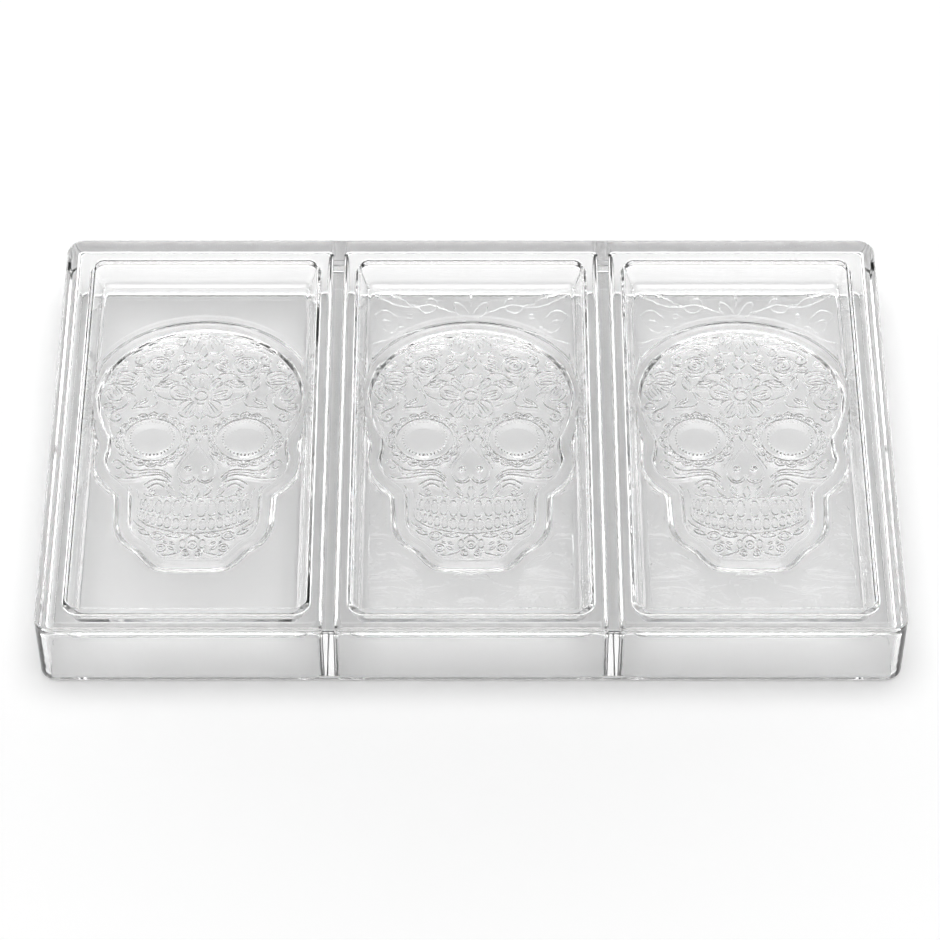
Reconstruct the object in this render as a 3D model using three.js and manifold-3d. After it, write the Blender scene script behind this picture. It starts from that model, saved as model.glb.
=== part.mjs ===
// Clear moulded tray for casting three sugar skull chocolate bars.
// Millimetres, +Z up, front edge towards -Y, origin at the middle of the bottom rim.
// The tray is one moulding. Its zones are separate solids that meet face to face on two level planes:
// the underside of the deck, and the underside of the cavity floors.
import * as THREE from 'three';
import { mergeVertices } from 'three/addons/utils/BufferGeometryUtils.js';
import Module from 'manifold-3d';

const wasm = await Module();
wasm.setup();

// Tray
const CAVITY_COUNT = 3;
const CAVITY_GAP = 13; // deck between two cavity mouths
const SIDE_MARGIN = 9; // deck outside the end cavities
const FRONT_MARGIN = 9.25; // deck in front of and behind the cavities
const HEIGHT = 25;
const CORNER_RADIUS = 6; // upright corners of the tray, in plan
const INSIDE_CORNER_RADIUS = 2; // the least that they keep inside the skirt
const TOP_EDGE_RADIUS = 0.8;
const DECK_THICKNESS = 3.5;
const SKIRT_WALL = 3.2;
const SKIRT_LEAN = 0.5; // how far the foot of the skirt stands in from its top
const DECK_COVE = 1.2; // fillet between the deck and what stands under it

// Divider ribs
const RIB_THICKNESS = 3.4;
const RIB_LIFT = 1; // foot of a rib above the table
const RIB_END_GAP = 0.3; // between a rib and the skirt

// Cavities, from the mouth down
const MOUTH_EDGE_RADIUS = 0.8;
const MOUTH_CORNER_RADIUS = 4;
const FLOOR_CORNER_RADIUS = 1.5;
const CAVITY_DEPTH = 9;
const CAVITY_DRAFT = THREE.MathUtils.degToRad(18.5);
const FLOOR_FILLET = 2.2;
const PAN_WALL = 2.2;
const PAN_COVE = 1;

// Skull outline: half an ellipse for the cranium and a spline for the face below it
const SKULL_HALF_WIDTH = 36;
const CRANIUM_RISE = 35; // crown above the widest place
const FACE_DROP = 72.3; // chin below the widest place
const SKULL_SIDE_GAP = 2.5; // cavity mouth beyond the skull, each side
const SKULL_TOP_GAP = 21.25;
const SKULL_CHIN_GAP = 27.95;

// Right half of the face, as shares of the half width and of the drop: temple, cheekbone, jaw, chin
const FACE_OUTLINE = [
  [0.975, 0.093],
  [0.93, 0.18],
  [0.872, 0.246],
  [0.867, 0.307],
  [0.889, 0.385],
  [0.828, 0.476],
  [0.703, 0.547],
  [0.65, 0.585],
  [0.638, 0.69],
  [0.625, 0.775],
  [0.564, 0.845],
  [0.442, 0.899],
  [0.333, 0.968],
  [0.242, 0.994],
];

// Skull recess, and the boss that holds it under the pan floor
const RECESS_DEPTH = 2.4; // below the cavity floor
const RECESS_ANGLE = THREE.MathUtils.degToRad(62); // of its wall, against the floor
const RIM_RADIUS = 2.2; // rounding from the cavity floor into that wall
const BOSS_WALL = 1; // side of the boss beyond the skull outline
const BOSS_REACH = 2; // points of the outline

// Figure on the recess floor. Drops are measured from the widest place of the skull.
const RAISED_HEIGHT = 0.6; // eyes and nose
const RAISED_SLOPE = 1.2;
const LOW_HEIGHT = 0.3; // lace, petals and teeth
const LOW_SLOPE = 0.4;

const EYE_RADIUS = 9.3;
const EYE_SPACING = 30.6;
const EYE_DROP = 17.2;
const LACE_RADIUS = 12.3;
const LACE_SCALLOPS = 18;
const LACE_BULGE = 0.9;

const NOSE_HALF_WIDTH = 6;
const NOSE_LENGTH = 17.6;
const NOSE_DROP = 19;
const NOSE_NOTCH = 2.8; // cleft between its two lobes

const FLOWER_RISE = 2.7; // centre of the brow flower above the widest place
const FLOWER_PETALS = 8;
const FLOWER_REACH = 10.8;
const FLOWER_DISC_RADIUS = 3;
const PETAL_HALF_WIDTH = 2.7;
const PETAL_GAP = 0.9; // between the disc and the petals

// Teeth stand at even angles along half a circle seen from its front. Both rows rise to their ends.
// first and step are degrees from the middle of the face.
const ARCH_RADIUS = 18;
const TOOTH_SHARE = 0.8; // of the pitch
const UPPER_TEETH = { count: 7, first: 7.3, step: 11.2, drop: 44.5, height: 6.9, rise: 3.2, shrink: 2.9 };
const LOWER_TEETH = { count: 8, first: 0, step: 9.4, drop: 52.6, height: 4.9, rise: 4.4, shrink: 1.5 };

// Smoothness of round stretches
const CORNER_STEPS = 5;
const FILLET_STEPS = 3;
const CRANIUM_STEPS = 11;
const FACE_STEPS = 25;
const ROUND_STEPS = 24;
const PETAL_STEPS = 10;
const TOOTH_STEPS = 8;
const SCALLOP_STEPS = 3;

// Sizes that follow
const cavityWidth = 2 * (SKULL_HALF_WIDTH + SKULL_SIDE_GAP);
const cavityLength = SKULL_TOP_GAP + CRANIUM_RISE + FACE_DROP + SKULL_CHIN_GAP;
const cavityPitch = cavityWidth + CAVITY_GAP;
const length = 2 * SIDE_MARGIN + (CAVITY_COUNT - 1) * cavityPitch + cavityWidth;
const width = 2 * FRONT_MARGIN + cavityLength;
const deckUnder = HEIGHT - DECK_THICKNESS;
const floorTop = HEIGHT - CAVITY_DEPTH;
const floorUnder = floorTop - PAN_WALL;
const recessFloor = floorTop - RECESS_DEPTH;
const bossFoot = recessFloor - PAN_WALL;
const skullCentre = cavityLength / 2 - SKULL_TOP_GAP - CRANIUM_RISE; // Y of the widest place
const BEYOND = 1; // how far a cutting solid passes the face it opens

const clearPlastic = {
  color: new THREE.Color(0xe9ecee),
  roughness: 0.06,
  metalness: 0,
  transparent: true,
  opacity: 0.4,
};

// Solids

function solidOf(geometry) {
  geometry.deleteAttribute('normal');
  geometry.deleteAttribute('uv');
  const merged = mergeVertices(geometry, 1e-5);
  return new wasm.Manifold(new wasm.Mesh({
    numProp: 3,
    vertProperties: new Float32Array(merged.attributes.position.array),
    triVerts: new Uint32Array(merged.index.array),
  }));
}

// A closed solid through level rings. contourAt(out) gives a ring of a fixed number of points,
// grown by out; profile lists [out, z] from the lowest ring to the highest.
function loft(contourAt, profile) {
  const rings = profile.map(([out]) => contourAt(out));
  const count = rings[0].length;
  const positions = rings.flatMap((ring, level) => ring.flatMap((p) => [p.x, p.y, profile[level][1]]));
  const faces = [];
  for (let level = 0; level < rings.length - 1; level += 1) {
    for (let i = 0; i < count; i += 1) {
      const a = level * count + i;
      const b = level * count + ((i + 1) % count);
      faces.push(a, b, b + count, a, b + count, a + count);
    }
  }
  const top = (rings.length - 1) * count;
  for (const [a, b, c] of THREE.ShapeUtils.triangulateShape(rings[0], [])) faces.push(a, c, b);
  for (const [a, b, c] of THREE.ShapeUtils.triangulateShape(rings.at(-1), [])) {
    faces.push(top + a, top + b, top + c);
  }
  const geometry = new THREE.BufferGeometry();
  geometry.setAttribute('position', new THREE.Float32BufferAttribute(positions, 3));
  geometry.setIndex(faces);
  return solidOf(geometry);
}

function arc(centreOut, centreZ, radius, from, to, steps = FILLET_STEPS) {
  return Array.from({ length: steps + 1 }, (_, i) => {
    const angle = THREE.MathUtils.lerp(from, to, i / steps);
    return [centreOut + radius * Math.cos(angle), centreZ + radius * Math.sin(angle)];
  });
}

function unite(solids) {
  return solids.reduce((whole, solid) => whole.add(solid));
}

// Contours, counter-clockwise

function roundedRectangle(sizeX, sizeY, radius) {
  const x = sizeX / 2 - radius;
  const y = sizeY / 2 - radius;
  return [[x, y], [-x, y], [-x, -y], [x, -y]].flatMap(([cx, cy], corner) =>
    arc(cx, cy, radius, (corner * Math.PI) / 2, ((corner + 1) * Math.PI) / 2, CORNER_STEPS)
      .map(([px, py]) => new THREE.Vector2(px, py)));
}

function trayContour(out) {
  const radius = Math.max(CORNER_RADIUS + out, INSIDE_CORNER_RADIUS);
  return roundedRectangle(length + 2 * out, width + 2 * out, radius);
}

function ellipse(halfX, halfY, steps = PETAL_STEPS) {
  return new THREE.EllipseCurve(0, 0, halfX, halfY).getPoints(steps).slice(0, -1);
}

function circle(radius, steps = ROUND_STEPS) {
  return ellipse(radius, radius, steps);
}

// Moves the sides of a closed contour outwards, each corner to where the moved sides meet.
// A reach of several points evens out the directions where the contour bends in.
function grown(contour, out, reach = 1) {
  return contour.map((point, i) => {
    const before = point.clone().sub(contour[(i + contour.length - reach) % contour.length]).normalize();
    const after = contour[(i + reach) % contour.length].clone().sub(point).normalize();
    const along = before.add(after).normalize();
    const mitre = out / along.dot(after);
    return new THREE.Vector2(point.x + along.y * mitre, point.y - along.x * mitre);
  });
}

function mirrored(half) {
  const left = half.slice(1, -1).reverse().map((p) => new THREE.Vector2(-p.x, p.y));
  return [...half, ...left];
}

// Chin to crown up the right side, then mirrored; (0, 0) is the middle of the widest place
function skullOutline() {
  const face = FACE_OUTLINE.map(([x, y]) => new THREE.Vector2(x * SKULL_HALF_WIDTH, -y * FACE_DROP));
  const chin = new THREE.Vector2(0, -FACE_DROP);
  const widest = new THREE.Vector2(SKULL_HALF_WIDTH, 0);
  const side = new THREE.SplineCurve([chin, ...face.reverse(), widest]).getSpacedPoints(FACE_STEPS);
  const cranium = new THREE.EllipseCurve(0, 0, SKULL_HALF_WIDTH, CRANIUM_RISE, 0, Math.PI / 2)
    .getPoints(CRANIUM_STEPS);
  return mirrored([...side, ...cranium.slice(1)]);
}

// Cavity section: mouth edge, drafted wall, floor fillet. grow moves it to the underside skin.
function cavitySection(grow) {
  const cos = Math.cos(CAVITY_DRAFT);
  const sin = Math.sin(CAVITY_DRAFT);
  const wallTop = [-MOUTH_EDGE_RADIUS * cos, HEIGHT - MOUTH_EDGE_RADIUS * (1 - sin)];
  const filletZ = floorTop + FLOOR_FILLET;
  const wallFootZ = filletZ - FLOOR_FILLET * sin;
  const wallFoot = wallTop[0] - (wallTop[1] - wallFootZ) * Math.tan(CAVITY_DRAFT);
  const filletOut = wallFoot - FLOOR_FILLET * cos;
  const wallAt = (z) => wallFoot + grow / cos + (z - wallFootZ) * Math.tan(CAVITY_DRAFT);
  const fillet = arc(filletOut, filletZ, FLOOR_FILLET + grow, -Math.PI / 2, -CAVITY_DRAFT);
  return { fillet, wallAt, floorInset: -filletOut };
}

const { floorInset } = cavitySection(0);
const cornerTaper = (MOUTH_CORNER_RADIUS - FLOOR_CORNER_RADIUS) / floorInset;

function cavityContour(grow) {
  return (out) => roundedRectangle(
    cavityWidth + 2 * out,
    cavityLength + 2 * out,
    MOUTH_CORNER_RADIUS + grow + (out - grow) * cornerTaper,
  );
}

// Skirt, deck and ribs

function sideLine(z) {
  return (SKIRT_LEAN * (z + TOP_EDGE_RADIUS - HEIGHT)) / HEIGHT;
}

function skirtInside(gap) {
  const wall = -SKIRT_WALL - gap;
  const cove = arc(wall - DECK_COVE, deckUnder - DECK_COVE, DECK_COVE, 0, Math.PI / 2);
  const top = [wall - DECK_COVE, deckUnder + BEYOND];
  return loft(trayContour, [[wall + sideLine(0), -BEYOND], ...cove, top]);
}

function outerSkirt() {
  const outside = loft(trayContour, [[sideLine(0), 0], [sideLine(deckUnder), deckUnder]]);
  return outside.subtract(skirtInside(0));
}

function topDeck() {
  const edgeFoot = HEIGHT - TOP_EDGE_RADIUS;
  const edge = arc(-TOP_EDGE_RADIUS, edgeFoot, TOP_EDGE_RADIUS, 0, Math.PI / 2);
  const slab = loft(trayContour, [[sideLine(deckUnder), deckUnder], ...edge]);
  const { wallAt } = cavitySection(0);
  const foot = deckUnder - BEYOND;
  const lip = arc(0, HEIGHT - MOUTH_EDGE_RADIUS, MOUTH_EDGE_RADIUS, Math.PI - CAVITY_DRAFT, Math.PI / 2);
  const mouth = loft(cavityContour(0), [[wallAt(foot), foot], ...lip, [0, HEIGHT + BEYOND]]);
  return cavityCentres().reduce((deck, x) => deck.subtract(mouth.translate([x, 0, 0])), slab);
}

function dividerRib() {
  const half = RIB_THICKNESS / 2;
  const section = new THREE.Shape();
  section.moveTo(-half, RIB_LIFT);
  section.lineTo(half, RIB_LIFT);
  section.absarc(half + DECK_COVE, deckUnder - DECK_COVE, DECK_COVE, Math.PI, Math.PI / 2, true);
  section.absarc(-half - DECK_COVE, deckUnder - DECK_COVE, DECK_COVE, Math.PI / 2, 0, true);
  const geometry = new THREE.ExtrudeGeometry(section, {
    depth: width,
    steps: 1,
    curveSegments: FILLET_STEPS,
    bevelEnabled: false,
  });
  geometry.translate(0, 0, -width / 2).rotateX(Math.PI / 2);
  return solidOf(geometry);
}

// Cavity pan, with the upper part of the boss round the skull recess

const outline = skullOutline().map((p) => new THREE.Vector2(p.x, p.y + skullCentre));
const skullContour = (out) => grown(outline, out);

function skullRecess() {
  const rim = arc(0, floorTop - RIM_RADIUS, RIM_RADIUS, Math.PI / 2 + RECESS_ANGLE, Math.PI / 2);
  const [wallTop, wallTopZ] = rim[0];
  const wallFoot = wallTop - (wallTopZ - recessFloor) / Math.tan(RECESS_ANGLE);
  return loft(skullContour, [[wallFoot, recessFloor], ...rim, [0, deckUnder + BEYOND]]);
}

// The boss, whose side is one cove as high as itself, kept inside the foot of the pan's own wall
function bossSolid(foot, top) {
  const coveOut = BOSS_WALL + RECESS_DEPTH;
  const cove = arc(coveOut, bossFoot, RECESS_DEPTH, Math.PI, Math.PI / 2);
  const boss = loft((out) => grown(outline, out, BOSS_REACH), [...cove, [coveOut, floorTop]]);
  const within = cavitySection(PAN_WALL).wallAt(floorTop);
  return boss.intersect(loft(cavityContour(PAN_WALL), [[within, foot], [within, top]]));
}

function cavityPan() {
  const skin = cavitySection(PAN_WALL);
  const hollow = cavitySection(0);
  const coveZ = deckUnder - PAN_COVE;
  const coveOut = skin.wallAt(coveZ) + PAN_COVE / Math.cos(CAVITY_DRAFT);
  const cove = arc(coveOut, coveZ, PAN_COVE, Math.PI - CAVITY_DRAFT, Math.PI / 2);
  const pan = loft(cavityContour(PAN_WALL), [...skin.fillet, ...cove]);
  const above = deckUnder + BEYOND;
  const inside = loft(cavityContour(0), [...hollow.fillet, [hollow.wallAt(above), above]]);
  return pan.add(bossSolid(floorUnder, floorTop)).subtract(inside).subtract(skullRecess());
}

// Skull figure

function raised(contour, height = LOW_HEIGHT, slope = LOW_SLOPE) {
  const contourAt = (out) => grown(contour, out);
  const foot = recessFloor - PAN_WALL / 2;
  return loft(contourAt, [[0, foot], [0, recessFloor], [-slope, recessFloor + height]]);
}

function shifted(contour, x, y) {
  return contour.map((p) => new THREE.Vector2(p.x + x, p.y + skullCentre + y));
}

function onBothSides(makeOne) {
  return [makeOne(-1), makeOne(1)];
}

function eye(side) {
  const disc = shifted(circle(EYE_RADIUS), (side * EYE_SPACING) / 2, -EYE_DROP);
  return raised(disc, RAISED_HEIGHT, RAISED_SLOPE);
}

function lace(side) {
  const rim = circle(LACE_RADIUS, LACE_SCALLOPS * SCALLOP_STEPS).map((p, i) => {
    const bulge = LACE_BULGE * Math.sin(((i % SCALLOP_STEPS) / SCALLOP_STEPS) * Math.PI);
    return p.setLength(LACE_RADIUS - LACE_BULGE + bulge);
  });
  return raised(shifted(rim, (side * EYE_SPACING) / 2, -EYE_DROP));
}

// An upturned heart: a point between the eyes and two round lobes below
function nose() {
  const lobe = NOSE_HALF_WIDTH / 2;
  const foot = -NOSE_LENGTH;
  const half = new THREE.Path();
  half.moveTo(0, foot + NOSE_NOTCH);
  half.bezierCurveTo(0.5 * lobe, foot, 1.5 * lobe, foot, NOSE_HALF_WIDTH, foot + 1.2 * lobe);
  half.bezierCurveTo(NOSE_HALF_WIDTH, foot + 2.4 * lobe, 0.6 * lobe, -1.2 * lobe, 0, 0);
  return raised(shifted(mirrored(half.getPoints(7)), 0, -NOSE_DROP), RAISED_HEIGHT, RAISED_SLOPE);
}

function flower() {
  const inner = FLOWER_DISC_RADIUS + PETAL_GAP;
  const halfLength = (FLOWER_REACH - inner) / 2;
  const petal = ellipse(halfLength, PETAL_HALF_WIDTH);
  const petals = Array.from({ length: FLOWER_PETALS }, (_, i) => {
    const angle = (i / FLOWER_PETALS) * 2 * Math.PI;
    const turned = petal.map((p) => p.clone().setX(p.x + inner + halfLength))
      .map((p) => p.rotateAround(new THREE.Vector2(), angle));
    return raised(shifted(turned, 0, FLOWER_RISE));
  });
  return [...petals, raised(shifted(circle(FLOWER_DISC_RADIUS, FLOWER_PETALS), 0, FLOWER_RISE))];
}

function teeth({ count, first, step, drop, height, rise, shrink }) {
  return Array.from({ length: count }, (_, i) => {
    const angle = THREE.MathUtils.degToRad(first + i * step);
    const across = ARCH_RADIUS * Math.sin(angle);
    const pitch = ARCH_RADIUS * Math.cos(angle) * THREE.MathUtils.degToRad(step);
    const bend = Math.sin(angle) ** 2;
    const tall = height - shrink * bend;
    const tooth = ellipse((pitch * TOOTH_SHARE) / 2, tall / 2, TOOTH_STEPS);
    const y = rise * bend - drop - tall / 2;
    const slope = Math.min(LOW_SLOPE, (pitch * TOOTH_SHARE) / 4);
    const sides = across > 0 ? [-1, 1] : [1];
    return sides.map((side) => raised(shifted(tooth, side * across, y), LOW_HEIGHT, slope));
  }).flat();
}

function skullRelief() {
  const tub = bossSolid(bossFoot, floorUnder).subtract(skullRecess());
  const low = [...onBothSides(lace), ...flower(), ...teeth(UPPER_TEETH), ...teeth(LOWER_TEETH)];
  return unite([tub, ...low, ...onBothSides(eye), nose()]);
}

// Assembly

function cavityCentres() {
  return Array.from({ length: CAVITY_COUNT }, (_, i) => (i - (CAVITY_COUNT - 1) / 2) * cavityPitch);
}

function meshOf(name, solid) {
  const { vertProperties, triVerts } = solid.getMesh();
  const geometry = new THREE.BufferGeometry();
  geometry.setAttribute('position', new THREE.BufferAttribute(vertProperties, 3));
  geometry.setIndex(new THREE.BufferAttribute(triVerts, 1));
  geometry.computeVertexNormals();
  const mesh = new THREE.Mesh(geometry, new THREE.MeshStandardMaterial(clearPlastic));
  mesh.name = name;
  return mesh;
}

const mould = new THREE.Group();
mould.add(meshOf('outer_skirt', outerSkirt()));
mould.add(meshOf('top_deck', topDeck()));

const rib = dividerRib();
const pan = cavityPan();
const relief = skullRelief();
const places = ['left', 'centre', 'right'];

cavityCentres().forEach((x, i) => {
  mould.add(meshOf(`cavity_pan_${places[i]}`, pan.translate([x, 0, 0])));
  mould.add(meshOf(`skull_relief_${places[i]}`, relief.translate([x, 0, 0])));
});

['left', 'right'].forEach((place, i) => {
  const x = (i - 0.5) * cavityPitch;
  const fitted = rib.translate([x, 0, 0]).intersect(skirtInside(RIB_END_GAP));
  mould.add(meshOf(`divider_rib_${place}`, fitted));
});

export default mould;
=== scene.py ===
import math

import bpy
import numpy as np
from mathutils import Matrix, Vector
from mathutils.geometry import delaunay_2d_cdt
from mathutils.kdtree import KDTree


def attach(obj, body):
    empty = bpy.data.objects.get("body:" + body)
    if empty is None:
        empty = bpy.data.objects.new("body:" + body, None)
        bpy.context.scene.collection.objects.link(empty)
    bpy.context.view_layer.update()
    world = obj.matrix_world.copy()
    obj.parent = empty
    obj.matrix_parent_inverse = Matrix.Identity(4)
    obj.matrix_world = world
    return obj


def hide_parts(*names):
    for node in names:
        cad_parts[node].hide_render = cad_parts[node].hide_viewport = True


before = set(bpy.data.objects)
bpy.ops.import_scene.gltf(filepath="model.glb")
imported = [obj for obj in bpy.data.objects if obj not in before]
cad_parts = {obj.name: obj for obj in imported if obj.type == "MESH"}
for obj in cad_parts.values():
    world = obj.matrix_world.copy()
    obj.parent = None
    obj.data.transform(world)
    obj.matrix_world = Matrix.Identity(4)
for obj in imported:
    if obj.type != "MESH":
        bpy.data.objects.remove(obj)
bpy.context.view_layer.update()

# Every length below is in millimetres, in the frame of the CAD model, until a mesh is made.
MM = 0.001

# Tray
LENGTH, WIDTH, HEIGHT = 275.0, 175.0, 25.0
CORNER_RADIUS = 6.0
INSIDE_CORNER_RADIUS = 2.0
TOP_EDGE_RADIUS = 0.8
FOOT_EDGE_RADIUS = 1.0
DECK_UNDER = 21.5
SKIRT_WALL = 3.2
SKIRT_LEAN = 0.5
DECK_COVE = 2.2
RIB_X = 45.0
RIB_TOP, RIB_FOOT = 3.4, 3.1  # thickness of a rib under the deck and at its foot
RIB_LIFT = 1.0  # the ribs end this far above the table

# Cavities
PITCH = 90.0
CAVITY_X, CAVITY_Y = 77.0, 156.5  # at the mouth
MOUTH_EDGE_RADIUS = 0.8
MOUTH_CORNER_RADIUS, FLOOR_CORNER_RADIUS = 4.0, 1.5
FLOOR_TOP = 16.0
DRAFT = math.radians(18.5)
FLOOR_FILLET = 2.2
PAN_WALL = 2.2
PAN_COVE = 1.0
PAN_FOOT_RADIUS = 2.0

# Skull recess
HALF_WIDTH = 36.0
SKULL_Y = 22.0  # widest place of the skull
CRANIUM_RISE = 35.0  # from there to the top
FACE_DROP = 72.3  # from there to the foot of the jaw
RECESS_DEPTH = 2.4
RECESS_ANGLE = math.radians(62)
RIM_RADIUS = 2.2
FOOT_RADIUS = 0.3
BOSS_WALL = 2.0
BOSS_EDGE_RADIUS = 0.8
BOSS_EVEN = 9  # points on each side that its direction is averaged over
SEAM_OUT = 0.4  # seam between a pan and its skull relief, outside the skull outline
SEAM_Z = 20.2  # seam between the deck with its coves and what hangs under it

# Right side of the face from the widest place down, as shares of HALF_WIDTH and FACE_DROP
FACE_OUTLINE = (
    (0.975, 0.093), (0.93, 0.18), (0.872, 0.246), (0.867, 0.307), (0.889, 0.385), (0.828, 0.476),
    (0.703, 0.547), (0.65, 0.585), (0.638, 0.69), (0.625, 0.775), (0.564, 0.845), (0.442, 0.899),
    (0.333, 0.968), (0.242, 0.994),
)

# Skull figure
FIGURE_Y = 2.0
ARCH_RADIUS = 18.0  # half circle that the teeth stand along
TOOTH_SHARE = 0.4  # half width of a tooth, as a share of its step along the arch
BLUNT = 0.7  # power that makes teeth and scallops blunter than round
UPPER_TEETH = dict(count=7, first=7.3, step=11.2, top=-24.4, bottom=-31.3,
                   rise_top=0.6, rise_bottom=3.5)
LOWER_TEETH = dict(count=9, first=0, step=9.4, top=-32.5, bottom=-37.2,
                   rise_top=3.4, rise_bottom=5)
LINE_WIDTH, LINE_HEIGHT = 0.8, 0.42
FINE_WIDTH, FINE_HEIGHT = 0.6, 0.31
LINE_STEP = 0.4
ACROSS = (0, 0.5, -0.5, 1, -1)  # mesh points across a line, as shares of half its width
CELL = 0.1  # at most one mesh point of the figure in each cell of this size
FIGURE_GRID = 0.9
EDGE_GAP = 0.3  # mesh points keep this far inside the edge of the face they are on
EYE_X, EYE_Y, EYE_RADIUS = 15.3, 2.8, 9.3
EYE_SLOPE, EYE_HEIGHT = 2.2, 0.95
EYE_BEADS, EYE_BEAD_RING = 37, 7.2
EYE_LINE_RADIUS = EYE_RADIUS + 0.2
LACE_SCALLOPS = 18
SCALLOP_STEPS = 8
LACE_RINGS = ((11, 1.3), (10.2, 1.1))  # radius of each wavy line, and how far its waves stand out
LACE_LEAF_RADIUS, LACE_LEAF_TURN, LACE_LEAF_WIDTH = 10.4, 0.09, 0.8
NOSE_SLOPE, NOSE_HEIGHT = 1.2, 0.7
PAD_SHARES = (0, 0.2, 0.4, 0.6, 0.8, 1)  # mesh points up the side of an eye or the nose
BEAD_RADIUS, BEAD_HEIGHT = 0.42, 0.3
BEAD_SHARES = (0.5, 1)  # rings of mesh points round a bead's middle

# Faint pattern on the cavity floors
PATTERN_WIDTH, PATTERN_HEIGHT = 0.5, 0.14
PATTERN_CELL = 0.2
PATTERN_GRID = 3.0

# Clear plastic
REFRACTION = 1.585
ROUGHNESS = (0.012, 0.03)
HAZE_SCALE, HAZE_DETAIL = 180.0, 2.0
SHARP_BEND, FIGURE_SHARP_BEND = 30, 60  # edges that bend by more degrees stay sharp

# Stage
FLOOR_SIZE = 16.0  # metres
FLOOR_DROP = 0.2  # gap between the tray's foot and the floor
FLOOR_ROUGHNESS = 0.9
FRONT_LIGHT, BACK_LIGHT = 0.12, 0.4
BOX_LIGHT, BOX_INSIDE, BOX_OUTSIDE = 3.2, 22, 33  # overhead, in degrees from straight up
# The bands are bounded along the axes of the unit direction towards the light.
BACK_BAND, BACK_START, BACK_FULL = 5.0, 0.2, 0.5
SIDE_BAND, SIDE_START, SIDE_FULL = 4.0, 0.5, 0.8
BAND_TOP, BAND_EDGE = 0.17, 0.05
# The camera looks down by TILT; the middle of its picture lies AIM_RISE above the frame's origin.
TILT = math.radians(47.64)
DISTANCE, AIM_RISE, CAMERA_X = 1382.8, 2.743, -0.33
SENSOR, FOCAL_PX, IMAGE_PX = 36.0, 4165.6, 940
CLIP_END = 50  # metres
BOUNCES, GLOSSY_BOUNCES = 24, 12
GLOSSY_FILTER = 0.4  # darkens the floor under the plastic; what the camera sees stays sharp

CORNER_STEPS = 12
ARC_STEPS = 8
OUTLINE_STEP = 0.4
NOSE_STEP = 0.3
CUT = 5.0  # how far a cutting solid passes the face it opens
INSIDE_ONLY, CDT_EPSILON = 1, 1e-7  # the triangulation keeps only what lies inside its contour

recess_floor = FLOOR_TOP - RECESS_DEPTH


# Contours: arrays of points, counter-clockwise

def arc(cx, cy, radius, start, end, steps=ARC_STEPS):
    angles = np.linspace(start, end, steps + 1)
    return np.stack([cx + radius * np.cos(angles), cy + radius * np.sin(angles)], axis=1)


def rounded_box(x0, x1, y0, y1, radius, steps=CORNER_STEPS):
    corners = ((x1 - radius, y1 - radius), (x0 + radius, y1 - radius),
               (x0 + radius, y0 + radius), (x1 - radius, y0 + radius))
    quarter = math.pi / 2
    return np.concatenate([arc(cx, cy, radius, i * quarter, (i + 1) * quarter, steps)
                           for i, (cx, cy) in enumerate(corners)])


def tray_contour(out):
    x, y = LENGTH / 2 + out, WIDTH / 2 + out
    return rounded_box(-x, x, -y, y, max(CORNER_RADIUS + out, INSIDE_CORNER_RADIUS))


def catmull_rom(points, steps=8):
    """A smooth line through the points."""
    points = np.asarray(points, float)
    padded = np.concatenate([points[:1], points, points[-1:]])
    t = np.linspace(0, len(points) - 1, steps * (len(points) - 1) + 1)
    i = np.minimum(t.astype(int), len(points) - 2)
    f = (t - i)[:, None]
    p0, p1, p2, p3 = padded[i], padded[i + 1], padded[i + 2], padded[i + 3]
    bend = 2 * p0 - 5 * p1 + 4 * p2 - p3 + f * (3 * (p1 - p2) + p3 - p0)
    return p1 + 0.5 * f * (p2 - p0 + f * bend)


def spaced(points, step):
    """The same line with points about step apart."""
    lengths = np.concatenate([[0], np.cumsum(np.hypot(*np.diff(points, axis=0).T))])
    at = np.linspace(0, lengths[-1], max(2, round(lengths[-1] / step) + 1))
    return np.stack([np.interp(at, lengths, points[:, k]) for k in (0, 1)], axis=1)


def skull_outline(step=OUTLINE_STEP):
    face = [(0, -FACE_DROP)] + [(x * HALF_WIDTH, -y * FACE_DROP) for x, y in reversed(FACE_OUTLINE)]
    face = catmull_rom(face + [(HALF_WIDTH, 0)], steps=12)
    cranium = arc(0, 0, 1, 0, math.pi / 2, steps=90) * (HALF_WIDTH, CRANIUM_RISE)
    half = spaced(np.concatenate([face, cranium[1:]]), step) + (0, SKULL_Y)
    left = half[-2:0:-1] * (-1, 1)
    return np.concatenate([half, left])


def grown(contour, out, even=0):
    """The contour moved outwards, in a direction averaged over even points to each side."""
    along = np.roll(contour, -1, axis=0) - np.roll(contour, 1, axis=0)
    along /= np.hypot(*along.T)[:, None]
    if even:
        along = sum(np.roll(along, shift, axis=0) for shift in range(-even, even + 1))
        along /= np.hypot(*along.T)[:, None]
    return contour + out * np.stack([along[:, 1], -along[:, 0]], axis=1)


def inside(points, contour):
    """Which points lie inside a closed contour."""
    result = np.zeros(len(points), bool)
    order = np.argsort(points[:, 1])
    ys = points[order, 1]
    for (ax, ay), (bx, by) in zip(contour, np.roll(contour, -1, axis=0)):
        if ay == by:
            continue
        first, last = np.searchsorted(ys, (min(ay, by), max(ay, by)))
        near = order[first:last]
        cross = ax + (points[near, 1] - ay) * (bx - ax) / (by - ay)
        result[near] ^= points[near, 0] < cross
    return result


# Solids: (vertices, faces)

def loft(contours, heights):
    """A closed solid through level rings that all have the same number of points, lowest first."""
    count = len(contours[0])
    verts = np.concatenate([np.column_stack([ring, np.full(count, z)])
                            for ring, z in zip(contours, heights)])
    i = np.arange(count)
    j = (i + 1) % count
    faces = []
    for level in range(len(contours) - 1):
        low, high = level * count, (level + 1) * count
        faces += np.stack([low + i, low + j, high + j, high + i], axis=1).tolist()
    faces.append(i[::-1].tolist())
    faces.append((i + (len(contours) - 1) * count).tolist())
    return verts, faces


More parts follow.
